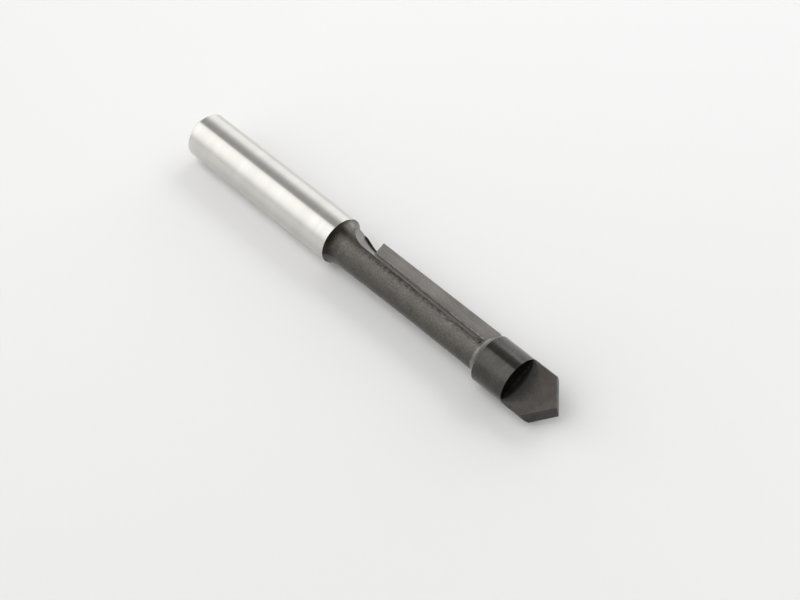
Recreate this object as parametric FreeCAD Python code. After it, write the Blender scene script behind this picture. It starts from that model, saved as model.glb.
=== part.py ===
import FreeCAD, Part
import math
import os

# Panel pilot router bit, quarter inch shank, one brazed carbide strip.
#
# Frame (millimetres, +Z up): the bit lies on its shank and its pilot.
#   origin  on the bit's axis, in the flat rear face of the shank
#   +X      along the axis, from the shank to the drill point
# The section is drawn in the bit's own cross frame and then rolled about X:
#   c       from the axis towards the cutting edge
#   w       square to the ground flats, the way the cutting edge moves
# The cutting edge moves towards +w when the bit turns clockwise as seen
# from the shank end, which is the usual hand for a router.

# ---------------------------------------------------------------- dimensions
SHANK_R = 3.175          # quarter inch shank
SHANK_CHAMFER = 0.45     # 45 degree chamfer of the rear end
SHANK_LEN = 26.73        # rear face to the start of the shoulder
COVE_END_X = 28.35       # end of the concave shoulder
NECK_R_A = 2.51          # neck just after the shoulder
NECK_A_X = 31.00
NECK_R_B = 2.41          # body of the cutting length
NECK_B_X = 39.00
NECK_R_C = 2.39          # body at the pilot
FOOT_BLEND_R = 1.00      # blend between body and pilot chamfer
PILOT_X = 52.76          # start of the full pilot diameter, end of chamfer
PILOT_R = 3.175          # pilot runs on the edge of the opening
STEP_X = 57.53           # ground wall between pilot and spade point
TIP_X = 63.50            # chisel edge, the overall length
SPADE_T = 2.12           # thickness of the spade point
SPADE_HALF_SLOPE = 0.8595   # axial fall of a lip for each mm of radius
SPADE_RELIEF = 0.20      # axial fall of a relief face for each mm of thickness
STEP_ROOT_R = 0.08       # wheel radius left at the root of the wall

GULLET_W = -0.67         # floor of the gullet and face of the carbide
GULLET_X0 = 31.40        # tangent point of the gullet's rear run-out
GULLET_X1 = 50.00        # tangent point of its front run-out, at the top
GULLET_C0_LOW = 1.50     # wall, at the floor, rear end
GULLET_C1_LOW = 1.24     # wall, at the floor, front end
GULLET_C0_TOP = 0.98     # wall, at TOP_W, rear end
GULLET_C1_TOP = 0.70     # wall, at TOP_W, front end
GULLET_TOP_W = 2.25
REAR_R_LOW = 5.30        # rear run-out radius at the floor
REAR_R_TOP = 5.90        # rear run-out radius at TOP_W
FRONT_R_LOW = 1.20       # front run-out radius at the floor
FRONT_X1_LOW = 50.90     # tangent point of the front run-out, at the floor
FRONT_R_TOP = 2.25       # front run-out radius at TOP_W

CARBIDE_X0 = 31.24       # rear end of the carbide strip
CARBIDE_LEN = 20.26
CARBIDE_T = 1.05
CARBIDE_C_IN = 1.52      # inner edge, the wall of its seat
CUT_R = 3.175            # cutting radius, flush with pilot and shank
CARBIDE_RELIEF_DEG = 12.0
SLOT_X0 = 31.20          # from here the seat's floor rises towards the shank
SLOT_RUN_R = 3.00        # wheel radius of that rise

LAND_X0 = 31.24          # steel that backs the carbide
LAND_X1 = 52.70
ROLL_DEG = 27.9          # roll about X in which the bit lies

BIG = 8.0


def V(x, c, w):
    return FreeCAD.Vector(x, c, w)


def face_of(edges):
    return Part.Face(Part.Wire(edges))


def line(a, b):
    return Part.LineSegment(a, b).toShape()


def arc3(a, m, b):
    return Part.Arc(a, m, b).toShape()


def prism_x(pts, x0, x1):
    """Straight polygon in (c, w), pulled along X."""
    v = [V(x0, c, w) for c, w in pts]
    es = [line(v[i], v[(i + 1) % len(v)]) for i in range(len(v))]
    return face_of(es).extrude(V(x1 - x0, 0, 0))


def prism_w(pts, w0, w1):
    """Straight polygon in (x, c), pulled along w."""
    v = [V(x, c, w0) for x, c in pts]
    es = [line(v[i], v[(i + 1) % len(v)]) for i in range(len(v))]
    return face_of(es).extrude(V(0, 0, w1 - w0))


# ------------------------------------------------------------- turned blank
def turned_blank():
    """Shank, shoulder, neck, cutting body, pilot chamfer and pilot, all
    turned about X, with the round bar of the point left on."""
    def p(x, r):
        return V(x, r, 0)

    # concave shoulder: an arc tangent to the neck at its far end
    dx = COVE_END_X - SHANK_LEN
    dr = SHANK_R - NECK_R_A
    rc = (dx * dx + dr * dr) / (2.0 * dr)
    ang = math.asin(dx / rc)
    mid = p(COVE_END_X - rc * math.sin(ang / 2.0),
            NECK_R_A + rc - rc * math.cos(ang / 2.0))

    # 45 degree chamfer up to the pilot, blended into the body
    foot_x = PILOT_X - (PILOT_R - NECK_R_C)
    t = FOOT_BLEND_R * math.tan(math.radians(22.5))
    b0 = (foot_x - t, NECK_R_C)
    b1 = (foot_x + t * math.cos(math.radians(45)),
          NECK_R_C + t * math.sin(math.radians(45)))
    cx, cr = foot_x - t, NECK_R_C + FOOT_BLEND_R
    bm = (cx + FOOT_BLEND_R * math.sin(math.radians(22.5)),
          cr - FOOT_BLEND_R * math.cos(math.radians(22.5)))

    end_x = TIP_X + 1.0
    pts = [
        ("l", (0, 0), (0, SHANK_R - SHANK_CHAMFER)),
        ("l", (0, SHANK_R - SHANK_CHAMFER), (SHANK_CHAMFER, SHANK_R)),
        ("l", (SHANK_CHAMFER, SHANK_R), (SHANK_LEN, SHANK_R)),
    ]
    es = [line(p(*a), p(*b)) for _, a, b in pts]
    es.append(arc3(p(SHANK_LEN, SHANK_R), mid, p(COVE_END_X, NECK_R_A)))
    es.append(line(p(COVE_END_X, NECK_R_A), p(NECK_A_X, NECK_R_A)))
    es.append(line(p(NECK_A_X, NECK_R_A), p(NECK_B_X, NECK_R_B)))
    es.append(line(p(NECK_B_X, NECK_R_B), p(*b0)))
    es.append(arc3(p(*b0), p(*bm), p(*b1)))
    es.append(line(p(*b1), p(PILOT_X, PILOT_R)))
    es.append(line(p(PILOT_X, PILOT_R), p(end_x, PILOT_R)))
    es.append(line(p(end_x, PILOT_R), p(end_x, 0)))
    es.append(line(p(end_x, 0), p(0, 0)))
    return face_of(es).revolve(V(0, 0, 0), V(1, 0, 0), 360)


def backing_land():
    """Steel behind the carbide: from just under the cutting circle it falls
    away around the back until it runs into the round body."""
    x0, x1 = LAND_X0, LAND_X1
    a = V(x0, 2.90, 0.72)
    b = V(x0, 2.985, 0.0)
    c = V(x0, 2.93, GULLET_W)
    d = V(x0, 2.50, -1.72)
    e = V(x0, 1.62, -2.40)
    f = V(x0, 0.15, -2.385)
    g = V(x0, 0.15, 0.72)
    es = [arc3(a, b, c), arc3(c, V(x0, 2.76, -1.25), d),
          arc3(d, e, f), line(f, g), line(g, a)]
    return face_of(es).extrude(V(x1 - x0, 0, 0))


# ------------------------------------------------------------------ cutters
def gullet_cutter():
    """Chip gullet in front of the cutting edge. Floor square to w, inner
    wall leaning about ten degrees, round run-outs at both ends."""
    k = (3.9 - GULLET_W) / (GULLET_TOP_W - GULLET_W)

    def mix(lo, hi):
        return lo + (hi - lo) * k

    def outline(c0, c1, r0, r1, x1, w):
        # rear arc: tangent to the wall, centre straight out from its end
        y_out = 4.6
        cc0 = c0 + r0
        a_end = math.asin((cc0 - y_out) / r0)
        p_start = V(GULLET_X0 - r0 * math.cos(a_end), y_out, w)
        am = (a_end + math.pi / 2.0) / 2.0
        p_mid = V(GULLET_X0 - r0 * math.cos(am), cc0 - r0 * math.sin(am), w)
        p_tan = V(GULLET_X0, c0, w)
        q_tan = V(x1, c1, w)
        q_mid = V(x1 + r1 * math.sin(math.pi / 4), c1 + r1 - r1 * math.cos(math.pi / 4), w)
        q_end = V(x1 + r1, c1 + r1, w)
        q_out = V(x1 + r1, y_out + 0.4, w)
        p_out = V(p_start.x, y_out + 0.4, w)
        es = [line(p_out, p_start), arc3(p_start, p_mid, p_tan), line(p_tan, q_tan),
              arc3(q_tan, q_mid, q_end), line(q_end, q_out), line(q_out, p_out)]
        return Part.Wire(es)

    low = outline(GULLET_C0_LOW, GULLET_C1_LOW, REAR_R_LOW, FRONT_R_LOW,
                  FRONT_X1_LOW, GULLET_W)
    top = outline(mix(GULLET_C0_LOW, GULLET_C0_TOP), mix(GULLET_C1_LOW, GULLET_C1_TOP),
                  mix(REAR_R_LOW, REAR_R_TOP), mix(FRONT_R_LOW, FRONT_R_TOP),
                  mix(FRONT_X1_LOW, GULLET_X1), 3.9)
    return Part.makeLoft([low, top], True, True)


def seat_cutter():
    """Seat of the carbide strip: a square sided pocket, open outwards."""
    x_end = CARBIDE_X0 + CARBIDE_LEN
    return prism_w([(CARBIDE_X0, CARBIDE_C_IN), (x_end, CARBIDE_C_IN),
                    (x_end, 4.6), (CARBIDE_X0, 4.6)],
                   GULLET_W - CARBIDE_T, GULLET_W)


def seat_run_out():
    """Behind the strip the seat's floor rises in an arc up to the gullet
    floor. It keeps inside the gullet's own outline."""
    w0 = GULLET_W - CARBIDE_T
    r = SLOT_RUN_R
    wc = w0 + r
    a = math.acos((wc - GULLET_W) / r)
    y0, y1 = 1.0, 4.6
    s = V(SLOT_X0 - r * math.sin(a), y0, GULLET_W)
    m = V(SLOT_X0 - r * math.sin(a / 2), y0, wc - r * math.cos(a / 2))
    t = V(SLOT_X0, y0, w0)
    e = V(CARBIDE_X0, y0, w0)
    o = V(CARBIDE_X0, y0, GULLET_W)
    scoop = face_of([arc3(s, m, t), line(t, e), line(e, o), line(o, s)])
    scoop = scoop.extrude(V(0, y1 - y0, 0))

    r0 = REAR_R_LOW
    cc = GULLET_C0_LOW + r0
    a_end = math.asin((cc - y1) / r0)
    am = (a_end + math.pi / 2.0) / 2.0
    zs = w0 - 0.5
    p0 = V(GULLET_X0 - r0 * math.cos(a_end), y1, zs)
    p1 = V(GULLET_X0 - r0 * math.cos(am), cc - r0 * math.sin(am), zs)
    p2 = V(GULLET_X0, GULLET_C0_LOW, zs)
    p3 = V(GULLET_X0, y1, zs)
    plan = face_of([arc3(p0, p1, p2), line(p2, p3), line(p3, p0)])
    plan = plan.extrude(V(0, 0, 0.5 + CARBIDE_T))
    return scoop.common(plan)


def spade_side_cutter(sign):
    """Wheel that grinds one flat of the spade point back to the wall."""
    h = SPADE_T / 2.0
    r = STEP_ROOT_R
    x1 = TIP_X + 3.0
    a = V(STEP_X, -BIG, sign * BIG)
    b = V(STEP_X, -BIG, sign * (h + r))
    m = V(STEP_X + r * (1 - math.cos(math.pi / 4)), -BIG,
          sign * (h + r - r * math.sin(math.pi / 4)))
    c = V(STEP_X + r, -BIG, sign * h)
    d = V(x1, -BIG, sign * h)
    e = V(x1, -BIG, sign * BIG)
    es = [line(a, b), arc3(b, m, c), line(c, d), line(d, e), line(e, a)]
    return face_of(es).extrude(V(0, 2 * BIG, 0))


def point_cutter():
    """The two end faces of the spade point. Each holds one cutting lip at
    its leading flat and falls away to the other flat. They meet in a short
    chisel edge across the axis."""
    h = SPADE_T / 2.0
    m, k = SPADE_HALF_SLOPE, SPADE_RELIEF
    xt = TIP_X + k * h          # height of the lip planes on the axis
    far = 5.0
    wl = 4.0

    def fall(side, c, w):
        # side +1: lip on the +w flat, side -1: lip on the -w flat
        return xt - m * side * c - k * (h - side * w)

    solids = []
    for side in (1, -1):
        corners = []
        for c, w in ((-far, -wl), (far, -wl), (far, wl), (-far, wl)):
            corners.append(V(fall(side, c, w), c, w))
        v = corners
        f = face_of([line(v[i], v[(i + 1) % 4]) for i in range(4)])
        solids.append(f.extrude(V(14, 0, 0)))
    return solids


# -------------------------------------------------------------------- build
blank = turned_blank()
body = blank.fuse(backing_land())
body = body.cut(gullet_cutter())
body = body.cut(seat_run_out())
body = body.cut(seat_cutter())
body = body.cut(spade_side_cutter(1))
body = body.cut(spade_side_cutter(-1))
for s in point_cutter():
    body = body.cut(s)
body = body.removeSplitter()

# carbide strip: rake face flush with the gullet floor, outer face relieved
w_face = GULLET_W
w_back = GULLET_W - CARBIDE_T
c_edge = math.sqrt(CUT_R ** 2 - w_face ** 2)
lead = math.atan2(-w_face, c_edge)
slant = lead + math.radians(CARBIDE_RELIEF_DEG)
c_back = c_edge - CARBIDE_T * math.tan(slant)
carbide = prism_x([(CARBIDE_C_IN, w_face), (c_edge, w_face), (c_back, w_back),
                   (CARBIDE_C_IN, w_back)], CARBIDE_X0, CARBIDE_X0 + CARBIDE_LEN)

os.makedirs("parts", exist_ok=True)
for name, shape in (("steel_body", body), ("carbide_strip", carbide)):
    shape = shape.copy()
    shape.rotate(V(0, 0, 0), V(1, 0, 0), ROLL_DEG)
    solids = shape.Solids
    if len(solids) == 1:
        shape = solids[0]
    shape.exportStep("parts/" + name + ".step")
    bb = shape.BoundBox
    print(name, "valid", shape.isValid(), "solids", len(solids),
          "volume %.2f" % shape.Volume,
          "box %.3f %.3f %.3f  %.3f %.3f %.3f" % (bb.XMin, bb.YMin, bb.ZMin,
                                                bb.XMax, bb.YMax, bb.ZMax))
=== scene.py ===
import math

import bpy
import numpy as np
from mathutils import Matrix, Vector


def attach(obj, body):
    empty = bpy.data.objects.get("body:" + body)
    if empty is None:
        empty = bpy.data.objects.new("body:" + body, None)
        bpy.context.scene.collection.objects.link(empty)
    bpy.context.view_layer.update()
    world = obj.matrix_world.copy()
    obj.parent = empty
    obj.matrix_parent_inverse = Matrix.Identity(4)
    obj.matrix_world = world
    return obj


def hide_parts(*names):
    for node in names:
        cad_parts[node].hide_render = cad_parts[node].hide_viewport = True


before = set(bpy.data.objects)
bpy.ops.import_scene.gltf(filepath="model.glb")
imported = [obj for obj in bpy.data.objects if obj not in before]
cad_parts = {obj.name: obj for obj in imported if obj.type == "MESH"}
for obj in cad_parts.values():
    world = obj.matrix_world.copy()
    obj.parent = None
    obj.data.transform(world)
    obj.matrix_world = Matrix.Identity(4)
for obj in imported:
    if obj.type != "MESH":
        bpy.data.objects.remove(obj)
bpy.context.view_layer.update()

# ------------------------------------------------------------------ geometry
# Cross frame of the bit: x along the axis, c towards the cutting edge, w
# square to the ground flats. It lies rolled about X. Millimetres in here.
ROLL = math.radians(27.9)
SHANK_R, SHANK_CHAMFER, SHANK_LEN = 3.175, 0.45, 26.73
COVE_END_X, NECK_R_A, NECK_A_X = 28.35, 2.51, 31.00
NECK_R_B, NECK_B_X, NECK_R_C = 2.41, 39.00, 2.39
FOOT_BLEND_R, PILOT_X, PILOT_R = 1.00, 52.76, 3.175
STEP_X, TIP_X, SPADE_T, SLOPE, RELIEF = 57.53, 63.50, 2.12, 0.8595, 0.20
ROOT_R = 0.08
G_W, G_X0, G_X1, G_TOP_W = -0.67, 31.40, 50.00, 2.25
C0_LOW, C1_LOW, C0_TOP, C1_TOP = 1.50, 1.24, 0.98, 0.70
RR_LOW, RR_TOP, RF_LOW, RF_TOP, X1_LOW = 5.30, 5.90, 1.20, 2.25, 50.90
S_X0, S_LEN, S_T, S_IN, CUT_R, S_RELIEF = 31.24, 20.26, 1.05, 1.52, 3.175, 12.0
RUN_X0, RUN_R = 31.20, 3.00
LAND_X0, LAND_X1 = 31.24, 52.70
H = SPADE_T / 2.0
PHI_C = math.radians(18.0)
EDGE = 0.035


def to_world(p):
    """(x, c, w) in mm to the row frame in metres."""
    p = np.asarray(p, float)
    s, k = math.sin(ROLL), math.cos(ROLL)
    return np.stack([p[..., 0], k * p[..., 1] - s * p[..., 2],
                     s * p[..., 1] + k * p[..., 2]], -1)


def arc3(a, m, b, n):
    (ax, ay), (bx, by), (cx, cy) = a, m, b
    d = 2 * (ax * (by - cy) + bx * (cy - ay) + cx * (ay - by))
    ux = ((ax * ax + ay * ay) * (by - cy) + (bx * bx + by * by) * (cy - ay)
          + (cx * cx + cy * cy) * (ay - by)) / d
    uy = ((ax * ax + ay * ay) * (cx - bx) + (bx * bx + by * by) * (ax - cx)
          + (cx * cx + cy * cy) * (bx - ax)) / d
    r = math.hypot(ax - ux, ay - uy)
    t = [math.atan2(p[1] - uy, p[0] - ux) for p in (a, m, b)]
    while t[1] - t[0] > math.pi: t[1] -= 2 * math.pi
    while t[1] - t[0] < -math.pi: t[1] += 2 * math.pi
    while t[2] - t[1] > math.pi: t[2] -= 2 * math.pi
    while t[2] - t[1] < -math.pi: t[2] += 2 * math.pi
    return [(ux + r * math.cos(t[0] + (t[2] - t[0]) * i / n),
             uy + r * math.sin(t[0] + (t[2] - t[0]) * i / n)) for i in range(n + 1)]


def rounded(path, radii, seg=4):
    """Polyline with its corners rounded. Gives (x, r, nx, nr)."""
    out = []
    for i, p in enumerate(path):
        p = np.array(p, float)
        u = p - np.array(path[i - 1]) if i > 0 else None
        v = np.array(path[i + 1]) - p if i + 1 < len(path) else None
        lu = np.linalg.norm(u) if u is not None else 0
        lv = np.linalg.norm(v) if v is not None else 0
        un = u / lu if lu else v / lv
        vn = v / lv if lv else u / lu
        nu, nv = np.array([-un[1], un[0]]), np.array([-vn[1], vn[0]])
        turn = math.acos(max(-1, min(1, float(un @ vn))))
        r = radii.get(i, 0.0)
        if r <= 0 or turn < 1e-4:
            n = nu + nv
            n = n / np.linalg.norm(n)
            out.append((p[0], p[1], n[0], n[1]))
            continue
        t = min(r * math.tan(turn / 2), 0.45 * lu, 0.45 * lv)
        a, b = p - un * t, p + vn * t
        for k in range(seg + 1):
            f = k / seg
            q = (1 - f) ** 2 * a + 2 * f * (1 - f) * p + f * f * b
            n = (1 - f) * nu + f * nv
            n = n / np.linalg.norm(n)
            out.append((q[0], q[1], n[0], n[1]))
    return out


def profile():
    dx, dr = COVE_END_X - SHANK_LEN, SHANK_R - NECK_R_A
    rc = (dx * dx + dr * dr) / (2 * dr)
    a0 = math.asin(dx / rc)
    cove = [(COVE_END_X - rc * math.sin(a0 * (1 - i / 18)),
             NECK_R_A + rc - rc * math.cos(a0 * (1 - i / 18))) for i in range(19)]
    foot = PILOT_X - (PILOT_R - NECK_R_C)
    t = FOOT_BLEND_R * math.tan(math.radians(22.5))
    blend = []
    for i in range(13):
        q = math.radians(45) * i / 12
        blend.append((foot - t + FOOT_BLEND_R * math.sin(q),
                      NECK_R_C + FOOT_BLEND_R - FOOT_BLEND_R * math.cos(q)))
    path = [(0.0, 0.9), (0.0, 1.8), (0.0, SHANK_R - SHANK_CHAMFER), (SHANK_CHAMFER, SHANK_R)]
    radii = {2: 0.07, 3: 0.10}
    n = 40
    path += [(SHANK_CHAMFER + (SHANK_LEN - SHANK_CHAMFER) * i / n, SHANK_R) for i in range(1, n)]
    radii[len(path)] = 0.05
    path += cove + [(NECK_A_X, NECK_R_A), (NECK_B_X, NECK_R_B)] + blend
    radii[len(path)] = 0.06
    path += [(PILOT_X, PILOT_R), (TIP_X + 0.5, PILOT_R)]
    pts = rounded(path, radii)
    xs = [p[0] for p in pts]
    extra = list(np.arange(27.75, 31.2, 0.085)) + [31.205, S_X0 - 0.004, S_X0 + 0.02]
    extra += list(np.arange(31.6, 50.0, 0.46)) + list(np.arange(50.0, 51.45, 0.075))
    extra += [S_X0 + S_LEN - 0.03, S_X0 + S_LEN, S_X0 + S_LEN + 0.02]
    extra += list(np.arange(51.56, 52.08, 0.04)) + list(np.arange(52.09, 52.30, 0.012))
    extra += [LAND_X1 - 0.06, LAND_X1 - 0.001, LAND_X1 + 0.012]
    extra += list(np.arange(53.1, 57.4, 0.42))
    extra += [STEP_X - 0.05, STEP_X - 0.030, STEP_X - 0.012, STEP_X, STEP_X + 0.012]
    extra += [STEP_X + ROOT_R * (1 - math.cos(math.radians(q))) for q in (25, 40, 52, 64, 76, 90)]
    extra += [STEP_X + ROOT_R + 0.05] + list(np.arange(58.1, 60.6, 0.4))
    extra += list(np.arange(60.66, 63.46, 0.07)) + [63.47, 63.49, TIP_X]
    body = [p for p in pts if p[0] > 0.5 and p[0] <= TIP_X]
    head = [p for p in pts if p[0] <= 0.5]
    ax = np.array([p[0] for p in pts if p[0] > 0.4])
    ay = np.array([p[1:] for p in pts if p[0] > 0.4])
    have = [p[0] for p in body]
    for x in extra:
        if min(abs(x - h) for h in have) > 0.006 or x in (S_X0 - 0.004, S_X0 + 0.02, TIP_X):
            v = [float(np.interp(x, ax, ay[:, k])) for k in range(3)]
            m = math.hypot(v[1], v[2])
            body.append((float(x), v[0], v[1] / m, v[2] / m))
            have.append(float(x))
    body.sort(key=lambda p: p[0])
    keep = []
    for p in body:
        if keep and p[0] - keep[-1][0] < 1e-5:
            continue
        keep.append(p)
    return [(0.0, 0.0, -1.0, 0.0)] + head + keep


_lp = [(2.90, 0.72)]
_lp += arc3((2.90, 0.72), (2.985, 0.0), (2.93, G_W), 16)[1:]
_lp += arc3((2.93, G_W), (2.76, -1.25), (2.50, -1.72), 12)[1:]
_lp += arc3((2.50, -1.72), (1.62, -2.40), (0.15, -2.385), 24)[1:]
_la = np.array([math.atan2(w, c) for c, w in _lp])[::-1]
_lr = np.array([math.hypot(w, c) for c, w in _lp])[::-1]


def wrap(a):
    return (a + math.pi) % (2 * math.pi) - math.pi


def land_r(phi):
    p = wrap(phi)
    if p < _la[0] or p > math.radians(60):
        return 0.0
    if p > _la[-1]:
        return 0.72 / math.sin(p)
    return float(np.interp(p, _la, _lr))


def outer(x, r, phi):
    if LAND_X0 < x <= LAND_X1:
        r = max(r, land_r(phi))
    return np.array([r * math.cos(phi), r * math.sin(phi)])


def wall_c(x, w):
    t = (w - G_W) / (G_TOP_W - G_W)
    c0, c1 = C0_LOW + (C0_TOP - C0_LOW) * t, C1_LOW + (C1_TOP - C1_LOW) * t
    rr, rf = RR_LOW + (RR_TOP - RR_LOW) * t, RF_LOW + (RF_TOP - RF_LOW) * t
    x1 = X1_LOW + (G_X1 - X1_LOW) * t
    if x < G_X0:
        d = G_X0 - x
        return 99.0 if d >= rr else c0 + rr - math.sqrt(rr * rr - d * d)
    if x <= x1:
        return c0 + (c1 - c0) * (x - G_X0) / (x1 - G_X0)
    d = x - x1
    return 99.0 if d >= rf else c1 + rf - math.sqrt(rf * rf - d * d)


def bisect(f, a, b):
    """f(a) > 0 >= f(b)."""
    for _ in range(44):
        m = 0.5 * (a + b)
        if f(m) > 0:
            a = m
        else:
            b = m
    return 0.5 * (a + b)


RUN_START = RUN_X0 - RUN_R * math.sin(math.acos((G_W - S_T + RUN_R - G_W) / RUN_R))
PATH_SUB = (3, 4, 3, 10)


def path_points(corners, before, after):
    """Corner points K0..K4 into rounded rows. before and after are the
    outer surface's directions at K0 and K4."""
    k = [np.array(c, float) for c in corners]
    lens = [np.linalg.norm(k[i + 1] - k[i]) for i in range(4)]
    e = []
    for i in range(5):
        near = [v for v in ((lens[i - 1] if i else 9), (lens[i] if i < 4 else 9))]
        e.append(min((EDGE, 0.05, 0.02, 0.06, EDGE)[i], 0.4 * min(near)))
    pts, tags = [], []
    dirs = [(k[i + 1] - k[i]) / lens[i] if lens[i] > 1e-9 else np.zeros(2) for i in range(4)]
    for i in range(5):
        ub = -dirs[i - 1] if i else np.array(before)
        ua = dirs[i] if i < 4 else np.array(after)
        if i:
            pts.append(k[i] + ub * e[i])
            tags.append("round")
        pts.append(k[i] + 0.293 * e[i] * (ua + ub))
        tags.append("round")
        if i < 4:
            a = k[i] + ua * e[i]
            b = k[i + 1] - dirs[i] * e[i + 1]
            n = PATH_SUB[i]
            for q in range(n):
                pts.append(a + (b - a) * q / n)
                tags.append(("seat_floor", "seat_wall", "gullet_floor", "gullet_wall")[i])
    return pts, tags, e


def base_angles():
    tf = math.degrees(math.asin(H / PILOT_R))
    d = 0.6
    marks = [tf - d, tf, tf + d]
    marks = sorted(marks + [180 - m for m in marks] + [-m for m in marks]
                   + [-180 + m for m in marks])
    grid = [v for v in np.arange(-180, 180, 2.0)]
    grid += [v for v in np.arange(-59, 59, 2.0)]
    grid = [g for g in grid if min(abs(g - m) for m in marks) > 0.45]
    # the left side mirrors the right, so that both meet in the chisel edge
    right = sorted([g for g in grid if -90 <= g <= 90] + [m for m in marks if -90 <= m <= 90])
    left = [180 - g for g in right if -90 < g < 90]
    every = sorted(set([round(g % 360, 6) for g in right + left]))
    c = math.degrees(PHI_C)
    turned = sorted([(g - c) % 360 for g in every if abs((g - c) % 360) > 0.2 and abs((g - c) % 360) < 359.8])
    return [math.radians(c)] + [math.radians(c + t) for t in turned] + [math.radians(c + 360)]


def section(x, r, nx, nr, angles):
    """One section of the steel body: its points in (c, w), and the rows'
    kinds. The first rows are the outer surface, the last the cut."""
    def f(phi):
        p = outer(x, r, phi)
        g = gate(x)
        if p[1] <= g:
            return -1.0
        return p[0] - wall_c(x, p[1])

    def gate(x):
        if x <= X1_LOW + RF_LOW:
            return G_W
        return G_W + (x - X1_LOW - RF_LOW) / (G_X1 + RF_TOP - X1_LOW - RF_LOW) * (G_TOP_W - G_W)

    cut = 27.7 < x < 52.4 and f(PHI_C) > 0
    two_pi = 2 * math.pi
    if not cut:
        pc = outer(x, r, PHI_C)
        pts, tags, e = path_points([pc] * 5, (0, 0), (0, 0))
        lo, hi = PHI_C + two_pi, PHI_C
    else:
        g = gate(x)
        hi = bisect(f, PHI_C, math.radians(90))
        k4 = outer(x, r, hi)
        glo = bisect(lambda q: g - outer(x, r, q)[1], math.radians(-80), PHI_C)
        inside = wall_c(x, g) < outer(x, r, glo)[0]
        if not inside:
            lo = bisect(lambda q: f(q), PHI_C, glo)
            k0 = outer(x, r, lo)
            ks = [k0, k0, k0, k0, k4]
        else:
            k3 = np.array([wall_c(x, g), g])
            wf = cp = None
            if RUN_START < x <= S_X0:
                wc = G_W - S_T + RUN_R
                wf = wc - math.sqrt(RUN_R ** 2 - max(0.0, RUN_X0 - x) ** 2)
                cp = C0_LOW + RR_LOW - math.sqrt(RR_LOW ** 2 - (G_X0 - x) ** 2)
            elif S_X0 < x <= S_X0 + S_LEN:
                wf, cp = G_W - S_T, S_IN
            if wf is not None and wf < g - 1e-4 and cp < outer(x, r, glo)[0]:
                k2 = np.array([cp, g])
                lo = bisect(lambda q: wf - outer(x, r, q)[1], math.radians(-85), glo)
                k0 = outer(x, r, lo)
                if k0[0] <= cp:
                    lo = bisect(lambda q: outer(x, r, q)[0] - cp, glo, math.radians(-85))
                    k0 = outer(x, r, lo)
                    ks = [k0, k0, k2, k3, k4]
                else:
                    ks = [k0, np.array([cp, wf]), k2, k3, k4]
            else:
                lo = glo
                k0 = outer(x, r, lo)
                kk = np.array([min(max(S_IN, k3[0]), k0[0]), g])
                ks = [k0, kk, kk, k3, k4]
        d0 = EDGE / max(r, 2.0)
        span = hi - lo
        d0 = min(d0, 0.2 * span)
        before = outer(x, r, lo - d0) - outer(x, r, lo)
        before = before / np.linalg.norm(before)
        after = outer(x, r, hi + d0) - outer(x, r, hi)
        after = after / np.linalg.norm(after)
        pts, tags, e = path_points(ks, before, after)
        hi += e[4] / r
        lo += two_pi - e[0] / r
    out, kinds = [], []
    h = None
    if x >= STEP_X + 0.006:
        h = H
        if x < STEP_X + ROOT_R:
            h = H + ROOT_R - math.sqrt(max(0.0, ROOT_R ** 2 - (STEP_X + ROOT_R - x) ** 2))
    tf = math.asin(H / PILOT_R)
    step_edge = STEP_X - 0.04 < x < STEP_X + 0.006

    def spade(p, phi):
        c, w = p
        if step_edge and abs(w) > H + ROOT_R:
            d = x - (STEP_X - 0.03)
            k = 1 - (0.0 if d <= 0 else 0.03 - math.sqrt(max(0.0, 0.03 ** 2 - min(d, 0.03) ** 2))) / PILOT_R
            c, w = c * k, w * k
        if h is not None:
            q = abs(wrap(phi))
            q = math.pi - q if q > math.pi / 2 else q
            if abs(q - tf) < 1e-4 and x >= STEP_X + ROOT_R:
                s, u = (1 if c > 0 else -1), (1 if w > 0 else -1)
                ee = 0.02
                c = s * (PILOT_R * math.cos(tf) + 0.293 * ee * (math.sin(tf) - 1))
                w = u * (H - 0.293 * ee * math.cos(tf))
            w = max(-h, min(h, w))
            lim = (TIP_X + RELIEF * H - x - RELIEF * (H - w)) / SLOPE
            lim2 = (TIP_X + RELIEF * H - x - RELIEF * (H + w)) / SLOPE
            c = max(-lim2, min(lim, c))
        return (c, w)

    for a in angles:
        q = min(max(a, hi), lo)
        out.append(spade(outer(x, r, q), q))
    for p in pts:
        out.append(spade(p, PHI_C) if not cut else tuple(p))
    return out, tags, cut, hi, lo, h


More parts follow.
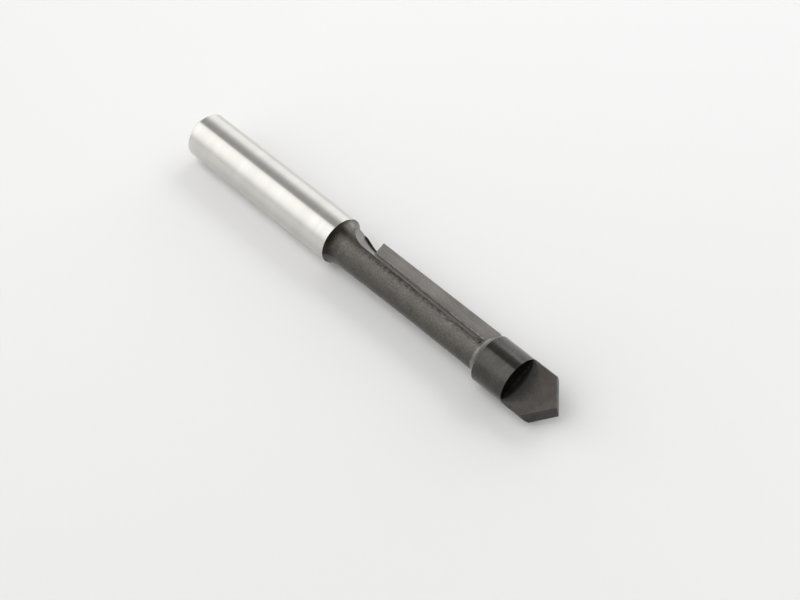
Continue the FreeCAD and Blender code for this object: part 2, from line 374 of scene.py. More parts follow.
def smooth_mesh(name, verts, faces, group, mats, fixed=None):
    """Mesh with split normals: smooth inside each group, sharp between
    them, and the rounded rows blend from one to the next."""
    key, index, uniq = {}, [], []
    for v in verts:
        k = (round(v[0] * 2e4), round(v[1] * 2e4), round(v[2] * 2e4))
        if k not in key:
            key[k] = len(uniq)
            uniq.append(v)
        index.append(key[k])
    uniq = np.array(uniq, float)
    poly, grp, mat, fix, seen = [], [], [], [], set()
    for n, fc in enumerate(faces):
        ids = []
        for i in fc:
            j = index[i]
            if not ids or (j != ids[-1]):
                ids.append(j)
        while len(ids) > 1 and ids[0] == ids[-1]:
            ids.pop()
        if len(ids) < 3 or len(set(ids)) < 3 or len(set(ids)) != len(ids):
            continue
        sig = tuple(sorted(ids))
        if sig in seen:
            continue
        seen.add(sig)
        poly.append(ids)
        grp.append(group[n])
        mat.append(mats[n])
        fix.append(None if fixed is None or fixed[n] is None
                   else {index[i]: m for i, m in zip(fc, fixed[n])})
    acc, rnd = {}, {}
    areas = []
    for ids, g in zip(poly, grp):
        p = uniq[ids]
        n = np.zeros(3)
        for i in range(1, len(ids) - 1):
            n += np.cross(p[i] - p[0], p[i + 1] - p[0])
        areas.append(n)
        for i in ids:
            acc.setdefault((i, g), np.zeros(3))
            acc[(i, g)] += n
            if g != "round":
                rnd.setdefault(i, [])
                if g not in rnd[i]:
                    rnd[i].append(g)
    normals = []
    for ids, g, fx, an in zip(poly, grp, fix, areas):
        for i in ids:
            if g == "round" and rnd.get(i):
                n = np.zeros(3)
                for q in rnd[i]:
                    m = acc[(i, q)]
                    n += m / (np.linalg.norm(m) + 1e-18)
            elif fx is not None:
                n = np.array(fx[i], float)
            else:
                n = acc[(i, g)]
            ln = np.linalg.norm(n)
            if ln < 1e-15:
                n, ln = an, np.linalg.norm(an) + 1e-18
            normals.append(n / ln)
    me = bpy.data.meshes.new(name)
    world = to_world(uniq) * 0.001
    me.from_pydata(world.tolist(), [], poly)
    me.polygons.foreach_set("material_index", mat)
    me.polygons.foreach_set("use_smooth", [True] * len(poly))
    me.update()
    me.validate(clean_customdata=False)
    if len(me.loops) == len(normals):
        me.normals_split_custom_set(to_world(np.array(normals)).tolist())
    else:
        print("normals left out:", name, len(me.loops), len(normals))
    ob = bpy.data.objects.new(name, me)
    bpy.context.scene.collection.objects.link(ob)
    return ob


def build_steel():
    st = profile()
    angles = base_angles()
    nb = len(angles)
    verts, rows, info = [], [], []
    for (x, r, nx, nr) in st:
        if r == 0.0:
            tags = None
            ids = []
            for _ in range(nb):
                verts.append((x, 0.0, 0.0))
                ids.append(len(verts) - 1)
            rows.append(ids)
            info.append((x, r, nx, nr, False, PHI_C, PHI_C + 2 * math.pi, None, None))
            continue
        pts, tags, cut, hi, lo, h = section(x, r, nx, nr, angles)
        ids = []
        for c, w in pts:
            verts.append((x, c, w))
            ids.append(len(verts) - 1)
        rows.append(ids)
        info.append((x, r, nx, nr, cut, hi, lo, h, tags))
    nc = len(rows[-1])
    tags = info[-1][8]
    rows[0] = rows[0] + [rows[0][0]] * (nc - nb)
    faces, group, mats, fixed = [], [], [], []
    V = np.array(verts)
    for i in range(len(rows) - 1):
        A, B = rows[i], rows[i + 1]
        xa, xb = info[i][0], info[i + 1][0]
        xm = 0.5 * (xa + xb)
        mat = 0 if xb <= SHANK_LEN + 0.02 else 1
        for j in range(nc):
            j2 = (j + 1) % nc
            f = (A[j], A[j2], B[j2], B[j])
            fx = None
            if j >= nb - 1:
                k = j - nb
                t0 = tags[k] if 0 <= k < len(tags) else "round"
                g = t0
                if k < 0 or j2 == 0:
                    g = "round"
                # only where the section really steps is it an end face
                n3 = np.cross(V[B[j2]] - V[A[j]], V[B[j]] - V[A[j2]])
                if abs(n3[0]) > 0.7 * np.linalg.norm(n3):
                    if S_X0 - 0.01 < xm < S_X0 + 0.03:
                        g = "rear_end"
                    if S_X0 + S_LEN < xm < S_X0 + S_LEN + 0.025:
                        g = "front_end"
            else:
                a = 0.5 * (angles[j] + angles[j + 1])
                g = "rev"
                if S_X0 - 0.01 < xm < S_X0 + 0.03:
                    q = V[[A[j], A[j2], B[j], B[j2]]]
                    if abs(np.hypot(q[2:, 1], q[2:, 2]).mean() - np.hypot(q[:2, 1], q[:2, 2]).mean()) > 0.005:
                        g = "rear_end"
                elif LAND_X0 < xm < LAND_X1 + 0.02:
                    q = V[[A[j], A[j2], B[j], B[j2]]]
                    rad = np.hypot(q[:, 1], q[:, 2])
                    if rad.max() > max(info[i][1], info[i + 1][1]) + 0.004:
                        pm = wrap(a)
                        g = "ledge" if pm > _la[-1] else "land"
                if g == "rev" and info[i + 1][7] is not None:
                    h0 = info[i][7]
                    q = V[[A[j], A[j2], B[j2], B[j]]]
                    wm = q[:, 2].mean()
                    if xm < STEP_X + 0.0075 and abs(wm) > H + ROOT_R * 0.3:
                        g = "step"
                    elif xm < STEP_X + 0.0075:
                        g = "rev"
                    elif abs(abs(q[:, 2]).min() - abs(q[:, 2]).max()) < 1e-3 and abs(wm) > H - 1e-3:
                        g = "flat_top" if wm > 0 else "flat_low"
                    elif xm < STEP_X + ROOT_R and abs(wm) > H:
                        g = "flat_top" if wm > 0 else "flat_low"
                    else:
                        lim = (TIP_X + RELIEF * H - xm - RELIEF * (H - wm)) / SLOPE
                        lim2 = (TIP_X + RELIEF * H - xm - RELIEF * (H + wm)) / SLOPE
                        cm = q[:, 1].mean()
                        if cm > lim - 0.01:
                            g = "point_a"
                        elif cm < -lim2 + 0.01:
                            g = "point_b"
                        elif abs(math.hypot(cm, wm) - PILOT_R) > 0.02:
                            g = "round"
                elif g == "rev" and STEP_X - 0.04 < xm < STEP_X + 0.006:
                    g = "round" if abs(V[[A[j], A[j2], B[j2], B[j]], 2].mean()) > H + ROOT_R else "rev"
                if g == "rev":
                    fx = []
                    for ii, jj in ((i, j), (i, j2), (i + 1, j2), (i + 1, j)):
                        inf = info[ii]
                        p = V[rows[ii][jj]]
                        rad = math.hypot(p[1], p[2])
                        if rad < 1e-6:
                            fx.append((-1.0, 0.0, 0.0))
                        else:
                            fx.append((inf[2], inf[3] * p[1] / rad, inf[3] * p[2] / rad))
            mt = mat
            if mat == 1:
                # painted shade: the point's faces and the spade's round sides take the darkened point
                # material
                if g in ("point_a", "point_b") or (xm > STEP_X + 0.01 and g in ("rev", "round")):
                    mt = 4
                # painted shade: the seat run-out takes the near-black seat material
                elif g in ("seat_floor", "seat_wall") and xm < S_X0:
                    mt = 6
                elif xm > PILOT_X - 0.02:
                    mt = 2
                elif g == "gullet_wall":
                    mt = 3
                elif g == "gullet_floor":
                    mt = 7
                elif xm > 51.60 and j < nb - 1:
                    mt = 5
                if g in ("flat_top", "flat_low") and xm < STEP_X + ROOT_R:
                    fx = [(0.0, 0.0, 1.0 if g == "flat_top" else -1.0)] * 4
            faces.append(f)
            group.append(g)
            mats.append(mt)
            fixed.append(fx)
    return smooth_mesh("steel_body_ground", verts, faces, group, mats, fixed)


def build_strip():
    """Carbide strip with its relief face and finely broken edges."""
    c_edge = math.sqrt(CUT_R ** 2 - G_W ** 2)
    slant = math.atan2(-G_W, c_edge) + math.radians(S_RELIEF)
    c_back = c_edge - S_T * math.tan(slant)
    wb = G_W - S_T
    cor = [np.array(p) for p in ((S_IN, G_W), (S_IN, wb), (c_back, wb), (c_edge, G_W))]
    ee = [0.02, 0.02, 0.03, 0.012]
    ring, tg = [], []
    names = ["inner", "back", "relief", "rake"]
    for i in range(4):
        a, b, c = cor[i - 1], cor[i], cor[(i + 1) % 4]
        ub = (a - b) / np.linalg.norm(a - b)
        ua = (c - b) / np.linalg.norm(c - b)
        ring += [b + ub * ee[i], b + 0.293 * ee[i] * (ua + ub), b + ua * ee[i]]
        tg += ["round", "round"]
        m = 8 if i in (1, 3) else 5
        d = cor[(i + 1) % 4] - (c - b) / np.linalg.norm(c - b) * ee[(i + 1) % 4]
        tg.append(names[i])
        for q in range(1, m):
            ring.append(ring[-1] * 0 + (b + ua * ee[i]) * (1 - q / m) + d * (q / m))
            tg.append(names[i])
    ring = np.array(ring)
    n = len(ring)
    cen = ring.mean(0)
    x0, x1 = S_X0 + 0.0, S_X0 + S_LEN
    e = 0.018
    st = [(x0, 0.0), (x0, 0.55), (x0, 1 - e / 0.5), (x0 + 0.3 * e, 1 - 0.3 * e / 0.5), (x0 + e, 1.0)]
    st += [(x, 1.0) for x in np.arange(x0 + 0.4, x1 - 0.3, 0.4)]
    st += [(x1 - e, 1.0), (x1 - 0.3 * e, 1 - 0.3 * e / 0.5), (x1, 1 - e / 0.5), (x1, 0.55), (x1, 0.0)]
    verts, rows = [], []
    for x, k in st:
        ids = []
        for p in ring:
            q = p - cen
            m = np.linalg.norm(q)
            if 0.6 < k < 1.0:
                s = (m - (1 - k) * 0.5) / m
            else:
                s = k
            r = cen + q * s
            verts.append((x, r[0], r[1]))
            ids.append(len(verts) - 1)
        rows.append(ids)
    faces, group, mats = [], [], []
    for i in range(len(rows) - 1):
        for j in range(n):
            j2 = (j + 1) % n
            faces.append((rows[i][j], rows[i][j2], rows[i + 1][j2], rows[i + 1][j]))
            ka, kb = st[i], st[i + 1]
            if ka[0] == kb[0]:
                g = "end0" if ka[0] == x0 else "end1"
            elif ka[1] < 1.0 or kb[1] < 1.0:
                g = "round"
            else:
                g = tg[j]
            group.append(g)
            mats.append(0)
    return smooth_mesh("carbide_edge", verts, faces, group, mats)


def build_braze():
    """Thin bead of braze in the corner behind the strip, and the film that
    shows along its inner edge."""
    rng = np.random.default_rng(7)
    verts, faces, group, mats = [], [], [], []

    def tube(path, radii, squash, tag, seg=14):
        base = len(verts)
        for (x, c, w), r in zip(path, radii):
            for k in range(seg):
                a = 2 * math.pi * k / seg
                verts.append((x + (squash[0] * r * math.cos(a) if squash[0] else 0.0),
                              c + squash[1] * r * math.cos(a), w + squash[2] * r * math.sin(a)))
        m = len(path)
        for i in range(m - 1):
            for k in range(seg):
                k2 = (k + 1) % seg
                faces.append((base + i * seg + k, base + i * seg + k2,
                              base + (i + 1) * seg + k2, base + (i + 1) * seg + k))
                group.append(tag)
                mats.append(1)
        for e, row in ((0, 0), (1, m - 1)):
            ids = [base + row * seg + k for k in range(seg)]
            faces.append(tuple(ids[::-1]) if e == 0 else tuple(ids))
            group.append(tag)
            mats.append(0)

    # bead across the rear end of the strip, in the corner with the run-out
    path, rad = [], []
    for i in range(25):
        t = i / 24
        c = 1.50 + (2.30 - 1.50) * t
        path.append((S_X0 - 0.03, c, G_W - S_T + 0.02))
        rad.append(0.16 * (0.25 + 0.75 * math.sin(math.pi * min(1, 0.15 + 0.85 * t)) ** 0.5)
                   * (1 + 0.08 * rng.standard_normal()) + 0.01)
    # this one runs along c, so its rings are turned into the x, w plane
    base = len(verts)
    seg = 14
    for (x, c, w), r in zip(path, rad):
        for k in range(seg):
            a = 2 * math.pi * k / seg
            verts.append((x + 1.9 * r * math.cos(a) * (1 if math.cos(a) < 0 else 0.15), c,
                          w + r * math.sin(a) * (1.25 if math.sin(a) > 0 else 0.3)))
    m = len(path)
    for i in range(m - 1):
        for k in range(seg):
            k2 = (k + 1) % seg
            faces.append((base + i * seg + k, base + (i + 1) * seg + k,
                          base + (i + 1) * seg + k2, base + i * seg + k2))
            group.append("bead")
            mats.append(0)
    faces.append(tuple(base + k for k in range(seg)))
    faces.append(tuple(base + (m - 1) * seg + k for k in reversed(range(seg))))
    group += ["bead", "bead"]
    mats += [0, 0]

    # film along the inner edge of the strip, level with the gullet floor
    path, rad = [], []
    for i in range(161):
        x = S_X0 + 0.05 + (S_LEN - 0.10) * i / 160
        path.append((x, S_IN, G_W - 0.012))
        rad.append(0.014 + 0.003 * rng.standard_normal())
    tube(path, [max(0.008, min(0.020, v)) for v in rad], (0, 1.0, 0.65), "film", 8)
    return smooth_mesh("braze_film", verts, faces, group, mats)


# ----------------------------------------------------------------- materials
def new_material(name):
    m = bpy.data.materials.new(name)
    m.use_nodes = True
    nt = m.node_tree
    nt.nodes.clear()
    out = nt.nodes.new("ShaderNodeOutputMaterial")
    b = nt.nodes.new("ShaderNodeBsdfPrincipled")
    nt.links.new(b.outputs[0], out.inputs[0])
    return m, nt, b


def node(nt, kind, **kw):
    n = nt.nodes.new(kind)
    for k, v in kw.items():
        if hasattr(n, k) and not k.startswith("in_"):
            setattr(n, k, v)
    return n


def mapping(nt, scale, rot=(0, 0, 0)):
    tc = nt.nodes.new("ShaderNodeTexCoord")
    mp = nt.nodes.new("ShaderNodeMapping")
    mp.inputs["Scale"].default_value = scale
    mp.inputs["Rotation"].default_value = rot
    nt.links.new(tc.outputs["Object"], mp.inputs["Vector"])
    return mp.outputs["Vector"]


def noise(nt, vec, scale, detail=3.0, rough=0.55, dim="3D"):
    n = nt.nodes.new("ShaderNodeTexNoise")
    n.noise_dimensions = dim
    n.inputs["Scale"].default_value = scale
    n.inputs["Detail"].default_value = detail
    n.inputs["Roughness"].default_value = rough
    nt.links.new(vec, n.inputs["Vector"])
    return n.outputs["Fac"]


def remap(nt, fac, a, b, lo, hi):
    r = nt.nodes.new("ShaderNodeMapRange")
    r.inputs["From Min"].default_value = a
    r.inputs["From Max"].default_value = b
    r.inputs["To Min"].default_value = lo
    r.inputs["To Max"].default_value = hi
    nt.links.new(fac, r.inputs["Value"])
    return r.outputs["Result"]


def ramp(nt, fac, stops):
    r = nt.nodes.new("ShaderNodeValToRGB")
    els = r.color_ramp.elements
    while len(els) > 1:
        els.remove(els[-1])
    els[0].position = stops[0][0]
    els[0].color = (*stops[0][1], 1)
    for p, c in stops[1:]:
        e = els.new(p)
        e.color = (*c, 1)
    nt.links.new(fac, r.inputs["Fac"])
    return r.outputs["Color"]


def math_node(nt, op, a, b=None):
    n = nt.nodes.new("ShaderNodeMath")
    n.operation = op
    for i, v in enumerate((a, b)):
        if v is None:
            continue
        if isinstance(v, (int, float)):
            n.inputs[i].default_value = v
        else:
            nt.links.new(v, n.inputs[i])
    return n.outputs[0]


def mix_rgb(nt, fac, a, b, kind="MIX"):
    n = nt.nodes.new("ShaderNodeMix")
    n.data_type = "RGBA"
    n.blend_type = kind
    if isinstance(fac, (int, float)):
        n.inputs[0].default_value = fac
    else:
        nt.links.new(fac, n.inputs[0])
    for i, v in ((6, a), (7, b)):
        if isinstance(v, tuple):
            n.inputs[i].default_value = (*v, 1)
        else:
            nt.links.new(v, n.inputs[i])
    return n.outputs[2]


def bump(nt, height, distance, strength, normal=None):
    n = nt.nodes.new("ShaderNodeBump")
    n.inputs["Strength"].default_value = strength
    n.inputs["Distance"].default_value = distance
    nt.links.new(height, n.inputs["Height"])
    if normal is not None:
        nt.links.new(normal, n.inputs["Normal"])
    return n.outputs["Normal"]


def ground_steel():
    """Bright, centreless ground shank: fine marks around the bar, and in
    rings on its faced rear end."""
    m, nt, b = new_material("shank_ground_steel")
    tc = nt.nodes.new("ShaderNodeTexCoord")
    sep = nt.nodes.new("ShaderNodeSeparateXYZ")
    nt.links.new(tc.outputs["Object"], sep.inputs[0])
    ring = math_node(nt, "SQRT", math_node(
        nt, "ADD", math_node(nt, "MULTIPLY", sep.outputs["Y"], sep.outputs["Y"]),
        math_node(nt, "MULTIPLY", sep.outputs["Z"], sep.outputs["Z"])))
    place = nt.nodes.new("ShaderNodeCombineXYZ")
    nt.links.new(math_node(nt, "ADD", sep.outputs["X"], ring), place.inputs[0])
    nt.links.new(math_node(nt, "MULTIPLY", sep.outputs["Y"], 0.012), place.inputs[1])
    nt.links.new(math_node(nt, "MULTIPLY", sep.outputs["Z"], 0.012), place.inputs[2])
    along = place.outputs[0]
    fine = noise(nt, along, 5200.0, 4.0, 0.65)
    broad = noise(nt, along, 420.0, 3.0, 0.5)
    cloud = noise(nt, mapping(nt, (1, 1, 1)), 140.0, 3.0, 0.5)
    tone = ramp(nt, math_node(nt, "ADD", math_node(nt, "MULTIPLY", fine, 0.35),
                              math_node(nt, "MULTIPLY", broad, 0.65)),
                [(0.30, (0.575, 0.560, 0.530)), (0.70, (0.665, 0.648, 0.615))])
    nt.links.new(tone, b.inputs["Base Color"])
    b.inputs["Metallic"].default_value = 1.0
    rough = math_node(nt, "ADD", remap(nt, fine, 0.3, 0.7, 0.12, 0.18),
                      remap(nt, cloud, 0.3, 0.7, -0.010, 0.02))
    nt.links.new(rough, b.inputs["Roughness"])
    b.inputs["Anisotropic"].default_value = 0.55
    tan = nt.nodes.new("ShaderNodeTangent")
    tan.direction_type = "RADIAL"
    tan.axis = "X"
    nt.links.new(tan.outputs[0], b.inputs["Tangent"])
    nt.links.new(bump(nt, fine, 0.0000035, 0.35), b.inputs["Normal"])
    return m


def along_x(nt, wobble=0.00015, scale=900.0):
    """Place along the bit in metres, with a slightly ragged line."""
    tc = nt.nodes.new("ShaderNodeTexCoord")
    sep = nt.nodes.new("ShaderNodeSeparateXYZ")
    nt.links.new(tc.outputs["Object"], sep.inputs[0])
    wob = noise(nt, mapping(nt, (1, 1, 1)), scale, 3.0, 0.6)
    return math_node(nt, "ADD", sep.outputs["X"], remap(nt, wob, 0.3, 0.7, -wobble, wobble))


def speckle(nt):
    """Fine blasted grain with a faint larger cloud, about 0.5 in the mean."""
    grain = noise(nt, mapping(nt, (1, 1, 1)), 9500.0, 3.0, 0.7)
    speck = noise(nt, mapping(nt, (1, 1, 1)), 4700.0, 2.0, 0.6)
    cloud = noise(nt, mapping(nt, (1, 1, 1)), 620.0, 3.0, 0.55)
    mixg = math_node(nt, "ADD", math_node(nt, "MULTIPLY", grain, 0.36),
                     math_node(nt, "ADD", math_node(nt, "MULTIPLY", speck, 0.44),
                               math_node(nt, "MULTIPLY", cloud, 0.20)))
    return grain, speck, cloud, mixg


def blasted_steel():
    """Blackened and blasted steel of the shoulder and the body."""
    m, nt, b = new_material("blackened_blasted_steel")
    grain, speck, cloud, mixg = speckle(nt)
    blast = ramp(nt, mixg, [(0.34, (0.063, 0.058, 0.052)), (0.50, (0.099, 0.093, 0.084)),
                            (0.66, (0.140, 0.132, 0.121))])
    tc = nt.nodes.new("ShaderNodeTexCoord")
    sep = nt.nodes.new("ShaderNodeSeparateXYZ")
    nt.links.new(tc.outputs["Object"], sep.inputs[0])
    turn = math_node(nt, "ARCTAN2", sep.outputs["Z"], sep.outputs["Y"])
    # painted shade: where the shoulder rises to the shank, its upper side towards -Y is darkened
    painted_shade_shoulder = math_node(nt, "MULTIPLY", remap(nt, along_x(nt, 0.0001, 700.0), 0.0274, 0.0287, 1.0, 0.0),
                      remap(nt, turn, math.radians(72), math.radians(94), 0.0, 1.0))
    blast = mix_rgb(nt, 1.0, blast, mix_rgb(nt, painted_shade_shoulder, (1.0, 1.0, 1.0), (0.36, 0.34, 0.30)), "MULTIPLY")
    # and painted light: its upper side towards +Y, above the gullet, is lightened
    painted_light_shoulder = math_node(nt, "MULTIPLY", remap(nt, along_x(nt, 0.0001, 700.0), 0.0272, 0.0281, 1.0, 0.0),
                     math_node(nt, "MULTIPLY", remap(nt, turn, math.radians(60), math.radians(76), 1.0, 0.0),
                               remap(nt, turn, math.radians(15), math.radians(40), 0.0, 1.0)))
    blast = mix_rgb(nt, 1.0, blast, mix_rgb(nt, painted_light_shoulder, (1.0, 1.0, 1.0), (1.55, 1.53, 1.47)), "MULTIPLY")
    # brazing has left burnt and bare patches along the gullet's edge
    patch = remap(nt, noise(nt, mapping(nt, (0.6, 1, 1)), 3000.0, 4.0, 0.7), 0.38, 0.62, 0.50, 1.45)
    edge = math_node(nt, "MULTIPLY", remap(nt, turn, math.radians(106), math.radians(120), 1.0, 0.0),
                     remap(nt, turn, math.radians(70), math.radians(80), 0.0, 1.0))
    edge = math_node(nt, "MULTIPLY", edge, remap(nt, sep.outputs["X"], 0.030, 0.034, 0.0, 1.0))
    gain = math_node(nt, "ADD", math_node(nt, "MULTIPLY", edge, math_node(nt, "SUBTRACT", patch, 1.0)), 1.0)
    burnt = nt.nodes.new("ShaderNodeCombineColor")
    for i in range(3):
        nt.links.new(gain, burnt.inputs[i])
    blast = mix_rgb(nt, 1.0, blast, burnt.outputs[0], "MULTIPLY")
    nt.links.new(blast, b.inputs["Base Color"])
    b.inputs["Metallic"].default_value = 1.0
    nt.links.new(remap(nt, mixg, 0.35, 0.65, 0.40, 0.29), b.inputs["Roughness"])
    hb = math_node(nt, "ADD", math_node(nt, "MULTIPLY", grain, 0.5), speck)
    nt.links.new(bump(nt, hb, 0.00003, 0.45), b.inputs["Normal"])
    return m


def smooth_black():
    """Blackened steel ground smooth, with an oil film: pilot and point."""
    m, nt, b = new_material("blackened_ground_steel")
    cloud = noise(nt, mapping(nt, (1, 1, 1)), 620.0, 3.0, 0.55)
    along = noise(nt, mapping(nt, (1, 0.08, 0.08)), 5200.0, 3.0, 0.6)
    grit = noise(nt, mapping(nt, (1, 1, 1)), 6500.0, 3.0, 0.65)
    f = math_node(nt, "ADD", math_node(nt, "MULTIPLY", along, 0.20),
                  math_node(nt, "ADD", math_node(nt, "MULTIPLY", cloud, 0.35),
                            math_node(nt, "MULTIPLY", grit, 0.45)))
    tone = ramp(nt, f, [(0.36, (0.032, 0.031, 0.028)), (0.64, (0.079, 0.076, 0.069))])
    x = along_x(nt, 0.00026, 2400.0)
    # painted shadow of the step wall: the flats darkened beside the wall, over a reach that scales with the
    # wall's height, so less towards its two ends
    tc = nt.nodes.new("ShaderNodeTexCoord")
    sep = nt.nodes.new("ShaderNodeSeparateXYZ")
    nt.links.new(tc.outputs["Object"], sep.inputs[0])
    cc = math_node(nt, "ADD", math_node(nt, "MULTIPLY", sep.outputs["Y"], math.cos(ROLL)),
                   math_node(nt, "MULTIPLY", sep.outputs["Z"], math.sin(ROLL)))
    half = math_node(nt, "SQRT", math_node(nt, "MAXIMUM", math_node(
        nt, "SUBTRACT", 0.003175 ** 2, math_node(nt, "MULTIPLY", cc, cc)), 0.0))
    wall = math_node(nt, "MAXIMUM", math_node(nt, "SUBTRACT", half, 0.00094), 0.00002)
    away = math_node(nt, "DIVIDE", math_node(nt, "SUBTRACT", x, STEP_X * 0.001), wall)
    corner = ramp(nt, remap(nt, away, 0.0, 1.5, 0.0, 1.0),
                  [(0.0, (0.85, 0.72, 0.64)), (0.10, (0.27, 0.24, 0.21)), (0.42, (0.20, 0.18, 0.16)),
                   (0.95, (0.78, 0.71, 0.68))])
    painted_wall_shadow = mix_rgb(nt, remap(nt, sep.outputs["X"], 0.05745, 0.05753, 0.0, 1.0), (1.0, 1.0, 1.0), corner)
    # painted shade: the flats toned down, and darker towards the step wall than at the tip
    painted_flat_shade = remap(nt, x, 0.0590, 0.0625, 0.70, 0.95)
    painted_flat_shade = math_node(nt, "MAXIMUM", painted_flat_shade, remap(nt, sep.outputs["X"], 0.05745, 0.05753, 1.0, 0.0))
    col = mix_rgb(nt, 1.0, tone, painted_wall_shadow, "MULTIPLY")
    comb = nt.nodes.new("ShaderNodeCombineColor")
    for i in range(3):
        nt.links.new(painted_flat_shade, comb.inputs[i])
    col = mix_rgb(nt, 1.0, col, comb.outputs[0], "MULTIPLY")
    nt.links.new(col, b.inputs["Base Color"])
    b.inputs["Metallic"].default_value = 1.0
    dull = math_node(nt, "MULTIPLY", remap(nt, away, 0.9, 1.5, 0.16, 0.0),
                     remap(nt, sep.outputs["X"], 0.05745, 0.05753, 0.0, 1.0))
    nt.links.new(math_node(nt, "ADD", remap(nt, f, 0.35, 0.65, 0.14, 0.20), dull), b.inputs["Roughness"])
    b.inputs["Coat Weight"].default_value = 0.35
    b.inputs["Coat Roughness"].default_value = 0.16
    b.inputs["Coat IOR"].default_value = 1.5
    nt.links.new(bump(nt, along, 0.000004, 0.35), b.inputs["Normal"])
    return m


def gullet_steel(name="gullet_ground_steel", patchy=False, lo=(0.183, 0.174, 0.161), hi=(0.278, 0.266, 0.249),
                 r0=0.42, r1=0.30):
    """Gullet, ground after the blasting: lighter and smoother."""
    m, nt, b = new_material(name)
    grain, speck, cloud, mixg = speckle(nt)
    marks = noise(nt, mapping(nt, (0.06, 1, 1)), 5200.0, 3.0, 0.6)
    f = math_node(nt, "ADD", math_node(nt, "MULTIPLY", mixg, 0.6), math_node(nt, "MULTIPLY", marks, 0.4))
    col = ramp(nt, f, [(0.36, lo), (0.64, hi)])
    if patchy:
        patch = remap(nt, noise(nt, mapping(nt, (0.6, 1, 1)), 3000.0, 4.0, 0.7), 0.38, 0.62, 0.60, 1.40)
        burnt = nt.nodes.new("ShaderNodeCombineColor")
        for i in range(3):
            nt.links.new(patch, burnt.inputs[i])
        col = mix_rgb(nt, 1.0, col, burnt.outputs[0], "MULTIPLY")
    nt.links.new(col, b.inputs["Base Color"])
    b.inputs["Metallic"].default_value = 1.0
    nt.links.new(remap(nt, f, 0.35, 0.65, r0, r1), b.inputs["Roughness"])
    nt.links.new(bump(nt, f, 0.00001, 0.4), b.inputs["Normal"])
    return m


def chamfer_steel():
    """Blend and chamfer up to the pilot: ground almost bright."""
    m, nt, b = new_material("chamfer_ground_steel")
    grain, speck, cloud, mixg = speckle(nt)
    bright = ramp(nt, mixg, [(0.36, (0.21, 0.201, 0.189)), (0.64, (0.32, 0.308, 0.292))])
    dark = ramp(nt, mixg, [(0.34, (0.066, 0.061, 0.055)), (0.66, (0.144, 0.136, 0.125))])
    col = mix_rgb(nt, remap(nt, along_x(nt), 0.05165, 0.05200, 0.0, 1.0), dark, bright)
    nt.links.new(col, b.inputs["Base Color"])
    b.inputs["Metallic"].default_value = 1.0
    nt.links.new(remap(nt, mixg, 0.35, 0.65, 0.46, 0.36), b.inputs["Roughness"])
    nt.links.new(bump(nt, mixg, 0.00001, 0.4), b.inputs["Normal"])
    return m


def point_steel():
    """Relief faces of the point, ground, and painted dark as painted shade of the shadowed floor that they
    mirror.
    """
    m, nt, b = new_material("point_relief_painted_shade")
    marks = noise(nt, mapping(nt, (1, 1, 0.08)), 5200.0, 3.0, 0.6)
    cloud = noise(nt, mapping(nt, (1, 1, 1)), 900.0, 3.0, 0.55)
    f = math_node(nt, "ADD", math_node(nt, "MULTIPLY", marks, 0.5), math_node(nt, "MULTIPLY", cloud, 0.5))
    col = ramp(nt, f, [(0.36, (0.042, 0.041, 0.041)), (0.64, (0.068, 0.067, 0.066))])
    nt.links.new(col, b.inputs["Base Color"])
    b.inputs["Metallic"].default_value = 1.0
    nt.links.new(remap(nt, f, 0.35, 0.65, 0.50, 0.42), b.inputs["Roughness"])
    nt.links.new(bump(nt, marks, 0.00001, 0.4), b.inputs["Normal"])
    return m


def carbide():
    m, nt, b = new_material("sintered_carbide")
    grain = noise(nt, mapping(nt, (1, 1, 1)), 7500.0, 3.0, 0.7)
    lines = noise(nt, mapping(nt, (0.04, 1, 1)), 4200.0, 3.0, 0.6)
    cloud = noise(nt, mapping(nt, (1, 1, 1)), 300.0, 2.0, 0.5)
    f = math_node(nt, "ADD", math_node(nt, "MULTIPLY", grain, 0.50),
                  math_node(nt, "ADD", math_node(nt, "MULTIPLY", lines, 0.25),
                            math_node(nt, "MULTIPLY", cloud, 0.25)))
    col = ramp(nt, f, [(0.36, (0.104, 0.099, 0.092)), (0.64, (0.188, 0.179, 0.168))])
    # painted shade: the strip darkened from its shank end towards the pilot
    painted_strip_shade = remap(nt, along_x(nt, 0.0002, 700.0), 0.0315, 0.0510, 1.08, 0.88)
    comb = nt.nodes.new("ShaderNodeCombineColor")
    for i in range(3):
        nt.links.new(painted_strip_shade, comb.inputs[i])
    col = mix_rgb(nt, 1.0, col, comb.outputs[0], "MULTIPLY")
    nt.links.new(col, b.inputs["Base Color"])
    b.inputs["Metallic"].default_value = 1.0
    nt.links.new(remap(nt, f, 0.35, 0.65, 0.46, 0.36), b.inputs["Roughness"])
    nt.links.new(bump(nt, f, 0.00001, 0.4), b.inputs["Normal"])
    return m


def seat_painted_shade_steel():
    """Seat run-out behind the strip, painted near-black as the shade in its narrow recess."""
    m, nt, b = new_material("seat_steel_painted_shade")
    n1 = noise(nt, mapping(nt, (1, 1, 1)), 3200.0, 4.0, 0.65)
    col = ramp(nt, n1, [(0.35, (0.016, 0.014, 0.012)), (0.65, (0.040, 0.036, 0.031))])
    nt.links.new(col, b.inputs["Base Color"])
    b.inputs["Metallic"].default_value = 0.6
    nt.links.new(remap(nt, n1, 0.3, 0.7, 0.60, 0.45), b.inputs["Roughness"])
    nt.links.new(bump(nt, n1, 0.00002, 0.4), b.inputs["Normal"])
    return m


def braze_bead():
    """Brownish, duller braze squeezed out at the strip's rear end."""
    m, nt, b = new_material("braze_bead")
    n1 = noise(nt, mapping(nt, (1, 1, 1)), 2600.0, 4.0, 0.65)
    col = ramp(nt, n1, [(0.35, (0.155, 0.125, 0.088)), (0.65, (0.320, 0.265, 0.195))])
    nt.links.new(col, b.inputs["Base Color"])
    b.inputs["Metallic"].default_value = 1.0
    nt.links.new(remap(nt, n1, 0.3, 0.7, 0.50, 0.36), b.inputs["Roughness"])
    nt.links.new(bump(nt, n1, 0.00002, 0.5), b.inputs["Normal"])
    return m


